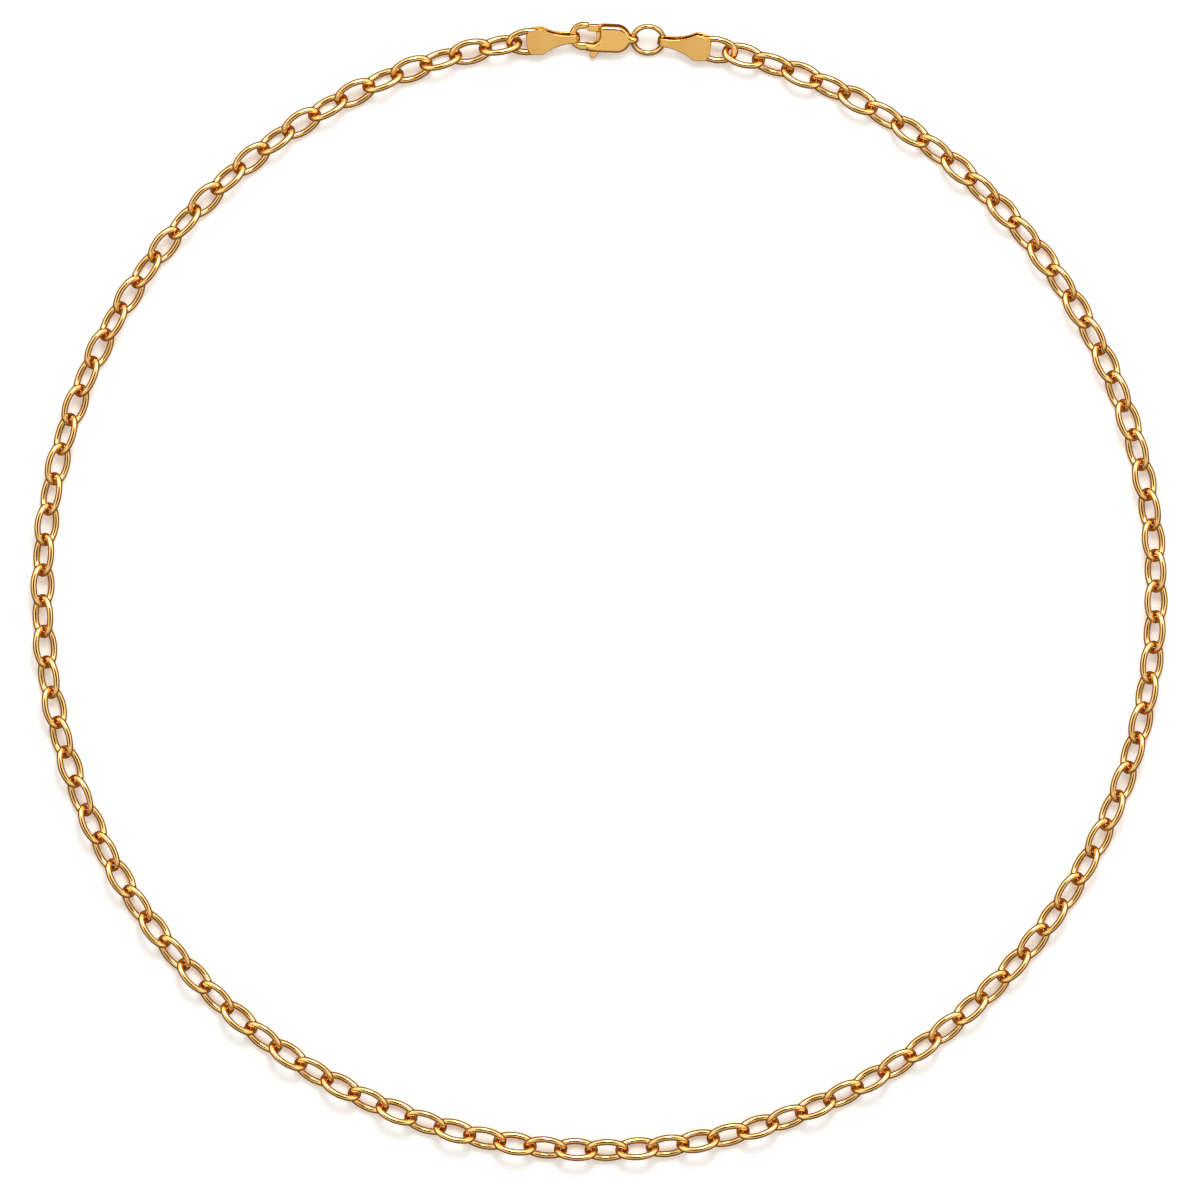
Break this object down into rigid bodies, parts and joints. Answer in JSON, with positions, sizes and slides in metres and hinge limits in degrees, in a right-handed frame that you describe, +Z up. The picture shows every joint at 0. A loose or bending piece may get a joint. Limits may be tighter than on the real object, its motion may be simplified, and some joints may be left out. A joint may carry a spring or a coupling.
{
  "type": "chain necklace",
  "caption": "Fine chain necklace of oval round-wire links with fold-over end tags, a lobster claw clasp and a jump ring, lying closed in a ring.",
  "frame": {"origin": "middle of the ring that the closed chain lies in, on the surface it rests on", "axes": "+Y towards the clasp, +X to the right seen from above, +Z up from the surface"},
  "size_m": [0.1482, 0.1484, 0.0031],
  "materials": {
    "chain_gold": "polished yellow gold",
    "tag_gold": "polished yellow gold sheet",
    "clasp_gold": "polished yellow gold casting",
    "ring_gold": "polished yellow gold wire",
    "spring_steel": "spring steel"
  },
  "bodies": {
    "front_run": {"chain_front": "chain_gold"},
    "right_run_01": {"chain_right_01": "chain_gold"},
    "right_run_02": {"chain_right_02": "chain_gold"},
    "right_run_03": {"chain_right_03": "chain_gold"},
    "right_run_04": {"chain_right_04": "chain_gold"},
    "right_run_05": {"chain_right_05": "chain_gold"},
    "right_run_06": {"chain_right_06": "chain_gold"},
    "right_run_07": {"chain_right_07": "chain_gold"},
    "right_run_08": {"chain_right_08": "chain_gold"},
    "right_run_09": {"chain_right_09": "chain_gold"},
    "right_run_10": {"chain_right_10": "chain_gold"},
    "right_run_11": {"chain_right_11": "chain_gold"},
    "right_run_12": {"chain_right_12": "chain_gold"},
    "right_run_13": {"chain_right_13": "chain_gold"},
    "right_run_14": {"chain_right_14": "chain_gold"},
    "right_run_15": {"chain_right_15": "chain_gold"},
    "right_run_16": {"chain_right_16": "chain_gold"},
    "right_run_17": {"chain_right_17": "chain_gold"},
    "right_run_18": {"chain_right_18": "chain_gold"},
    "right_run_19": {"chain_right_19": "chain_gold"},
    "right_run_20": {"chain_right_20": "chain_gold"},
    "right_run_21": {"chain_right_21": "chain_gold"},
    "right_run_22": {"chain_right_22": "chain_gold"},
    "right_run_23": {"chain_right_23": "chain_gold"},
    "right_run_24": {"chain_right_24": "chain_gold"},
    "right_run_25": {"chain_right_25": "chain_gold"},
    "ring_tag": {"tag_ring_side": "tag_gold", "end_link_ring_side": "chain_gold"},
    "left_run_01": {"chain_left_01": "chain_gold"},
    "left_run_02": {"chain_left_02": "chain_gold"},
    "left_run_03": {"chain_left_03": "chain_gold"},
    "left_run_04": {"chain_left_04": "chain_gold"},
    "left_run_05": {"chain_left_05": "chain_gold"},
    "left_run_06": {"chain_left_06": "chain_gold"},
    "left_run_07": {"chain_left_07": "chain_gold"},
    "left_run_08": {"chain_left_08": "chain_gold"},
    "left_run_09": {"chain_left_09": "chain_gold"},
    "left_run_10": {"chain_left_10": "chain_gold"},
    "left_run_11": {"chain_left_11": "chain_gold"},
    "left_run_12": {"chain_left_12": "chain_gold"},
    "left_run_13": {"chain_left_13": "chain_gold"},
    "left_run_14": {"chain_left_14": "chain_gold"},
    "left_run_15": {"chain_left_15": "chain_gold"},
    "left_run_16": {"chain_left_16": "chain_gold"},
    "left_run_17": {"chain_left_17": "chain_gold"},
    "left_run_18": {"chain_left_18": "chain_gold"},
    "left_run_19": {"chain_left_19": "chain_gold"},
    "left_run_20": {"chain_left_20": "chain_gold"},
    "left_run_21": {"chain_left_21": "chain_gold"},
    "left_run_22": {"chain_left_22": "chain_gold"},
    "left_run_23": {"chain_left_23": "chain_gold"},
    "left_run_24": {"chain_left_24": "chain_gold"},
    "left_run_25": {"chain_left_25": "chain_gold"},
    "hook_tag": {"tag_hook_side": "tag_gold", "end_link_hook_side": "chain_gold"},
    "clasp": {"clasp_body": "clasp_gold", "clasp_rivet": "clasp_gold", "clasp_spring": "spring_steel"},
    "lever": {"clasp_lever": "clasp_gold"},
    "ring": {"jump_ring": "ring_gold"}
  },
  "joints": [
    {"name": "bend_right_01", "type": "hinge", "parent": "front_run", "child": "right_run_01", "pos_m": [0.01392, -0.07124, 0.00154], "axis": [0, 0, 1], "range_deg": [-9.01, 9.01]},
    {"name": "bend_right_02", "type": "hinge", "parent": "right_run_01", "child": "right_run_02", "pos_m": [0.02167, -0.06927, 0.00154], "axis": [0, 0, 1], "range_deg": [-8.13, 8.13]},
    {"name": "bend_right_03", "type": "hinge", "parent": "right_run_02", "child": "right_run_03", "pos_m": [0.02916, -0.06647, 0.00154], "axis": [0, 0, 1], "range_deg": [-6.45, 6.45]},
    {"name": "bend_right_04", "type": "hinge", "parent": "right_run_03", "child": "right_run_04", "pos_m": [0.03629, -0.06286, 0.00154], "axis": [0, 0, 1], "range_deg": [-4.15, 4.15]},
    {"name": "bend_right_05", "type": "hinge", "parent": "right_run_04", "child": "right_run_05", "pos_m": [0.04299, -0.05849, 0.00154], "axis": [0, 0, 1], "range_deg": [-1.44, 1.44]},
    {"name": "bend_right_06", "type": "hinge", "parent": "right_run_05", "child": "right_run_06", "pos_m": [0.04916, -0.0534, 0.00154], "axis": [0, 0, 1], "range_deg": [-1.44, 1.44]},
    {"name": "bend_right_07", "type": "hinge", "parent": "right_run_06", "child": "right_run_07", "pos_m": [0.05474, -0.04767, 0.00154], "axis": [0, 0, 1], "range_deg": [-4.15, 4.15]},
    {"name": "bend_right_08", "type": "hinge", "parent": "right_run_07", "child": "right_run_08", "pos_m": [0.05965, -0.04136, 0.00154], "axis": [0, 0, 1], "range_deg": [-6.45, 6.45]},
    {"name": "bend_right_09", "type": "hinge", "parent": "right_run_08", "child": "right_run_09", "pos_m": [0.06384, -0.03455, 0.00154], "axis": [0, 0, 1], "range_deg": [-8.13, 8.13]},
    {"name": "bend_right_10", "type": "hinge", "parent": "right_run_09", "child": "right_run_10", "pos_m": [0.06725, -0.02731, 0.00154], "axis": [0, 0, 1], "range_deg": [-9.01, 9.01]},
    {"name": "loop_fold", "type": "hinge", "parent": "right_run_10", "child": "right_run_11", "pos_m": [0.06985, -0.01975, 0.00154], "axis": [1, 0, 0], "range_deg": [0, 25]},
    {"name": "fold_right_2", "type": "hinge", "parent": "right_run_11", "child": "right_run_12", "pos_m": [0.07159, -0.01195, 0.00154], "axis": [1, 0, 0], "range_deg": [0, 25]},
    {"name": "fold_right_3", "type": "hinge", "parent": "right_run_12", "child": "right_run_13", "pos_m": [0.07247, -0.004, 0.00154], "axis": [1, 0, 0], "range_deg": [0, 25]},
    {"name": "fold_right_4", "type": "hinge", "parent": "right_run_13", "child": "right_run_14", "pos_m": [0.07247, 0.004, 0.00154], "axis": [1, 0, 0], "range_deg": [0, 25]},
    {"name": "fold_right_5", "type": "hinge", "parent": "right_run_14", "child": "right_run_15", "pos_m": [0.07159, 0.01195, 0.00154], "axis": [1, 0, 0], "range_deg": [0, 25]},
    {"name": "fold_right_6", "type": "hinge", "parent": "right_run_15", "child": "right_run_16", "pos_m": [0.06985, 0.01975, 0.00154], "axis": [1, 0, 0], "range_deg": [0, 25]},
    {"name": "bend_right_17", "type": "hinge", "parent": "right_run_16", "child": "right_run_17", "pos_m": [0.06725, 0.02731, 0.00154], "axis": [0, 0, 1], "range_deg": [-9.01, 9.01]},
    {"name": "bend_right_18", "type": "hinge", "parent": "right_run_17", "child": "right_run_18", "pos_m": [0.06384, 0.03455, 0.00154], "axis": [0, 0, 1], "range_deg": [-8.13, 8.13]},
    {"name": "bend_right_19", "type": "hinge", "parent": "right_run_18", "child": "right_run_19", "pos_m": [0.05965, 0.04136, 0.00154], "axis": [0, 0, 1], "range_deg": [-6.45, 6.45]},
    {"name": "bend_right_20", "type": "hinge", "parent": "right_run_19", "child": "right_run_20", "pos_m": [0.05474, 0.04767, 0.00154], "axis": [0, 0, 1], "range_deg": [-4.15, 4.15]},
    {"name": "bend_right_21", "type": "hinge", "parent": "right_run_20", "child": "right_run_21", "pos_m": [0.04916, 0.0534, 0.00154], "axis": [0, 0, 1], "range_deg": [-1.44, 1.44]},
    {"name": "bend_right_22", "type": "hinge", "parent": "right_run_21", "child": "right_run_22", "pos_m": [0.04299, 0.05849, 0.00154], "axis": [0, 0, 1], "range_deg": [-1.44, 1.44]},
    {"name": "bend_right_23", "type": "hinge", "parent": "right_run_22", "child": "right_run_23", "pos_m": [0.03629, 0.06286, 0.00154], "axis": [0, 0, 1], "range_deg": [-4.15, 4.15]},
    {"name": "bend_right_24", "type": "hinge", "parent": "right_run_23", "child": "right_run_24", "pos_m": [0.02916, 0.06647, 0.00154], "axis": [0, 0, 1], "range_deg": [-6.45, 6.45]},
    {"name": "bend_right_25", "type": "hinge", "parent": "right_run_24", "child": "right_run_25", "pos_m": [0.02167, 0.06927, 0.00154], "axis": [0, 0, 1], "range_deg": [-8.13, 8.13]},
    {"name": "loop_squeeze", "type": "hinge", "parent": "right_run_25", "child": "ring_tag", "pos_m": [0.01392, 0.07124, 0.00154], "axis": [0, 0, 1], "range_deg": [-9, 9]},
    {"name": "bend_left_01", "type": "hinge", "parent": "front_run", "child": "left_run_01", "pos_m": [-0.01392, -0.07124, 0.00154], "axis": [0, 0, -1], "range_deg": [-9.01, 9.01]},
    {"name": "bend_left_02", "type": "hinge", "parent": "left_run_01", "child": "left_run_02", "pos_m": [-0.02167, -0.06927, 0.00154], "axis": [0, 0, -1], "range_deg": [-8.13, 8.13]},
    {"name": "bend_left_03", "type": "hinge", "parent": "left_run_02", "child": "left_run_03", "pos_m": [-0.02916, -0.06647, 0.00154], "axis": [0, 0, -1], "range_deg": [-6.45, 6.45]},
    {"name": "bend_left_04", "type": "hinge", "parent": "left_run_03", "child": "left_run_04", "pos_m": [-0.03629, -0.06286, 0.00154], "axis": [0, 0, -1], "range_deg": [-4.15, 4.15]},
    {"name": "bend_left_05", "type": "hinge", "parent": "left_run_04", "child": "left_run_05", "pos_m": [-0.04299, -0.05849, 0.00154], "axis": [0, 0, -1], "range_deg": [-1.44, 1.44]},
    {"name": "bend_left_06", "type": "hinge", "parent": "left_run_05", "child": "left_run_06", "pos_m": [-0.04916, -0.0534, 0.00154], "axis": [0, 0, -1], "range_deg": [-1.44, 1.44]},
    {"name": "bend_left_07", "type": "hinge", "parent": "left_run_06", "child": "left_run_07", "pos_m": [-0.05474, -0.04767, 0.00154], "axis": [0, 0, -1], "range_deg": [-4.15, 4.15]},
    {"name": "bend_left_08", "type": "hinge", "parent": "left_run_07", "child": "left_run_08", "pos_m": [-0.05965, -0.04136, 0.00154], "axis": [0, 0, -1], "range_deg": [-6.45, 6.45]},
    {"name": "bend_left_09", "type": "hinge", "parent": "left_run_08", "child": "left_run_09", "pos_m": [-0.06384, -0.03455, 0.00154], "axis": [0, 0, -1], "range_deg": [-8.13, 8.13]},
    {"name": "bend_left_10", "type": "hinge", "parent": "left_run_09", "child": "left_run_10", "pos_m": [-0.06725, -0.02731, 0.00154], "axis": [0, 0, -1], "range_deg": [-9.01, 9.01]},
    {"name": "fold_left_1", "type": "hinge", "parent": "left_run_10", "child": "left_run_11", "pos_m": [-0.06985, -0.01975, 0.00154], "axis": [1, 0, 0], "range_deg": [0, 25]},
    {"name": "fold_left_2", "type": "hinge", "parent": "left_run_11", "child": "left_run_12", "pos_m": [-0.07159, -0.01195, 0.00154], "axis": [1, 0, 0], "range_deg": [0, 25]},
    {"name": "fold_left_3", "type": "hinge", "parent": "left_run_12", "child": "left_run_13", "pos_m": [-0.07247, -0.004, 0.00154], "axis": [1, 0, 0], "range_deg": [0, 25]},
    {"name": "fold_left_4", "type": "hinge", "parent": "left_run_13", "child": "left_run_14", "pos_m": [-0.07247, 0.004, 0.00154], "axis": [1, 0, 0], "range_deg": [0, 25]},
    {"name": "fold_left_5", "type": "hinge", "parent": "left_run_14", "child": "left_run_15", "pos_m": [-0.07159, 0.01195, 0.00154], "axis": [1, 0, 0], "range_deg": [0, 25]},
    {"name": "fold_left_6", "type": "hinge", "parent": "left_run_15", "child": "left_run_16", "pos_m": [-0.06985, 0.01975, 0.00154], "axis": [1, 0, 0], "range_deg": [0, 25]},
    {"name": "bend_left_17", "type": "hinge", "parent": "left_run_16", "child": "left_run_17", "pos_m": [-0.06725, 0.02731, 0.00154], "axis": [0, 0, -1], "range_deg": [-9.01, 9.01]},
    {"name": "bend_left_18", "type": "hinge", "parent": "left_run_17", "child": "left_run_18", "pos_m": [-0.06384, 0.03455, 0.00154], "axis": [0, 0, -1], "range_deg": [-8.13, 8.13]},
    {"name": "bend_left_19", "type": "hinge", "parent": "left_run_18", "child": "left_run_19", "pos_m": [-0.05965, 0.04136, 0.00154], "axis": [0, 0, -1], "range_deg": [-6.45, 6.45]},
    {"name": "bend_left_20", "type": "hinge", "parent": "left_run_19", "child": "left_run_20", "pos_m": [-0.05474, 0.04767, 0.00154], "axis": [0, 0, -1], "range_deg": [-4.15, 4.15]},
    {"name": "bend_left_21", "type": "hinge", "parent": "left_run_20", "child": "left_run_21", "pos_m": [-0.04916, 0.0534, 0.00154], "axis": [0, 0, -1], "range_deg": [-1.44, 1.44]},
    {"name": "bend_left_22", "type": "hinge", "parent": "left_run_21", "child": "left_run_22", "pos_m": [-0.04299, 0.05849, 0.00154], "axis": [0, 0, -1], "range_deg": [-1.44, 1.44]},
    {"name": "bend_left_23", "type": "hinge", "parent": "left_run_22", "child": "left_run_23", "pos_m": [-0.03629, 0.06286, 0.00154], "axis": [0, 0, -1], "range_deg": [-4.15, 4.15]},
    {"name": "bend_left_24", "type": "hinge", "parent": "left_run_23", "child": "left_run_24", "pos_m": [-0.02916, 0.06647, 0.00154], "axis": [0, 0, -1], "range_deg": [-6.45, 6.45]},
    {"name": "bend_left_25", "type": "hinge", "parent": "left_run_24", "child": "left_run_25", "pos_m": [-0.02167, 0.06927, 0.00154], "axis": [0, 0, -1], "range_deg": [-8.13, 8.13]},
    {"name": "bend_left_26", "type": "hinge", "parent": "left_run_25", "child": "hook_tag", "pos_m": [-0.01392, 0.07124, 0.00154], "axis": [0, 0, -1], "range_deg": [-9.01, 9.01]},
    {"name": "clasp_roll", "type": "hinge", "parent": "hook_tag", "child": "clasp", "pos_m": [0, 0.07235, 0.00154], "axis": [1, 0, 0], "range_deg": [-6, 8]},
    {"name": "ring_roll", "type": "hinge", "parent": "ring_tag", "child": "ring", "pos_m": [0.00334, 0.07235, 0.00154], "axis": [1, 0, 0], "range_deg": [-22, 2]},
    {"name": "lever_open", "type": "hinge", "parent": "clasp", "child": "lever", "pos_m": [-0.0024, 0.07291, 0.00175], "axis": [0, -0.342, 0.9397], "range_deg": [0, 25], "deforming": ["clasp_spring"]}
  ],
  "couplings": [
    {"joint": "bend_right_01", "follows": "loop_squeeze", "ratio": 1},
    {"joint": "bend_right_02", "follows": "loop_squeeze", "ratio": 0.90211},
    {"joint": "bend_right_03", "follows": "loop_squeeze", "ratio": 0.71592},
    {"joint": "bend_right_04", "follows": "loop_squeeze", "ratio": 0.45965},
    {"joint": "bend_right_05", "follows": "loop_squeeze", "ratio": 0.15838},
    {"joint": "bend_right_06", "follows": "loop_squeeze", "ratio": -0.15838},
    {"joint": "bend_right_07", "follows": "loop_squeeze", "ratio": -0.45965},
    {"joint": "bend_right_08", "follows": "loop_squeeze", "ratio": -0.71592},
    {"joint": "bend_right_09", "follows": "loop_squeeze", "ratio": -0.90211},
    {"joint": "bend_right_10", "follows": "loop_squeeze", "ratio": -1},
    {"joint": "fold_right_2", "follows": "loop_fold", "ratio": 1},
    {"joint": "fold_right_3", "follows": "loop_fold", "ratio": 1},
    {"joint": "fold_right_4", "follows": "loop_fold", "ratio": 1},
    {"joint": "fold_right_5", "follows": "loop_fold", "ratio": 1},
    {"joint": "fold_right_6", "follows": "loop_fold", "ratio": 1},
    {"joint": "bend_right_17", "follows": "loop_squeeze", "ratio": -1},
    {"joint": "bend_right_18", "follows": "loop_squeeze", "ratio": -0.90211},
    {"joint": "bend_right_19", "follows": "loop_squeeze", "ratio": -0.71592},
    {"joint": "bend_right_20", "follows": "loop_squeeze", "ratio": -0.45965},
    {"joint": "bend_right_21", "follows": "loop_squeeze", "ratio": -0.15838},
    {"joint": "bend_right_22", "follows": "loop_squeeze", "ratio": 0.15838},
    {"joint": "bend_right_23", "follows": "loop_squeeze", "ratio": 0.45965},
    {"joint": "bend_right_24", "follows": "loop_squeeze", "ratio": 0.71592},
    {"joint": "bend_right_25", "follows": "loop_squeeze", "ratio": 0.90211},
    {"joint": "bend_left_01", "follows": "loop_squeeze", "ratio": 1},
    {"joint": "bend_left_02", "follows": "loop_squeeze", "ratio": 0.90211},
    {"joint": "bend_left_03", "follows": "loop_squeeze", "ratio": 0.71592},
    {"joint": "bend_left_04", "follows": "loop_squeeze", "ratio": 0.45965},
    {"joint": "bend_left_05", "follows": "loop_squeeze", "ratio": 0.15838},
    {"joint": "bend_left_06", "follows": "loop_squeeze", "ratio": -0.15838},
    {"joint": "bend_left_07", "follows": "loop_squeeze", "ratio": -0.45965},
    {"joint": "bend_left_08", "follows": "loop_squeeze", "ratio": -0.71592},
    {"joint": "bend_left_09", "follows": "loop_squeeze", "ratio": -0.90211},
    {"joint": "bend_left_10", "follows": "loop_squeeze", "ratio": -1},
    {"joint": "fold_left_1", "follows": "loop_fold", "ratio": 1},
    {"joint": "fold_left_2", "follows": "loop_fold", "ratio": 1},
    {"joint": "fold_left_3", "follows": "loop_fold", "ratio": 1},
    {"joint": "fold_left_4", "follows": "loop_fold", "ratio": 1},
    {"joint": "fold_left_5", "follows": "loop_fold", "ratio": 1},
    {"joint": "fold_left_6", "follows": "loop_fold", "ratio": 1},
    {"joint": "bend_left_17", "follows": "loop_squeeze", "ratio": -1},
    {"joint": "bend_left_18", "follows": "loop_squeeze", "ratio": -0.90211},
    {"joint": "bend_left_19", "follows": "loop_squeeze", "ratio": -0.71592},
    {"joint": "bend_left_20", "follows": "loop_squeeze", "ratio": -0.45965},
    {"joint": "bend_left_21", "follows": "loop_squeeze", "ratio": -0.15838},
    {"joint": "bend_left_22", "follows": "loop_squeeze", "ratio": 0.15838},
    {"joint": "bend_left_23", "follows": "loop_squeeze", "ratio": 0.45965},
    {"joint": "bend_left_24", "follows": "loop_squeeze", "ratio": 0.71592},
    {"joint": "bend_left_25", "follows": "loop_squeeze", "ratio": 0.90211},
    {"joint": "bend_left_26", "follows": "loop_squeeze", "ratio": 1}
  ]
}
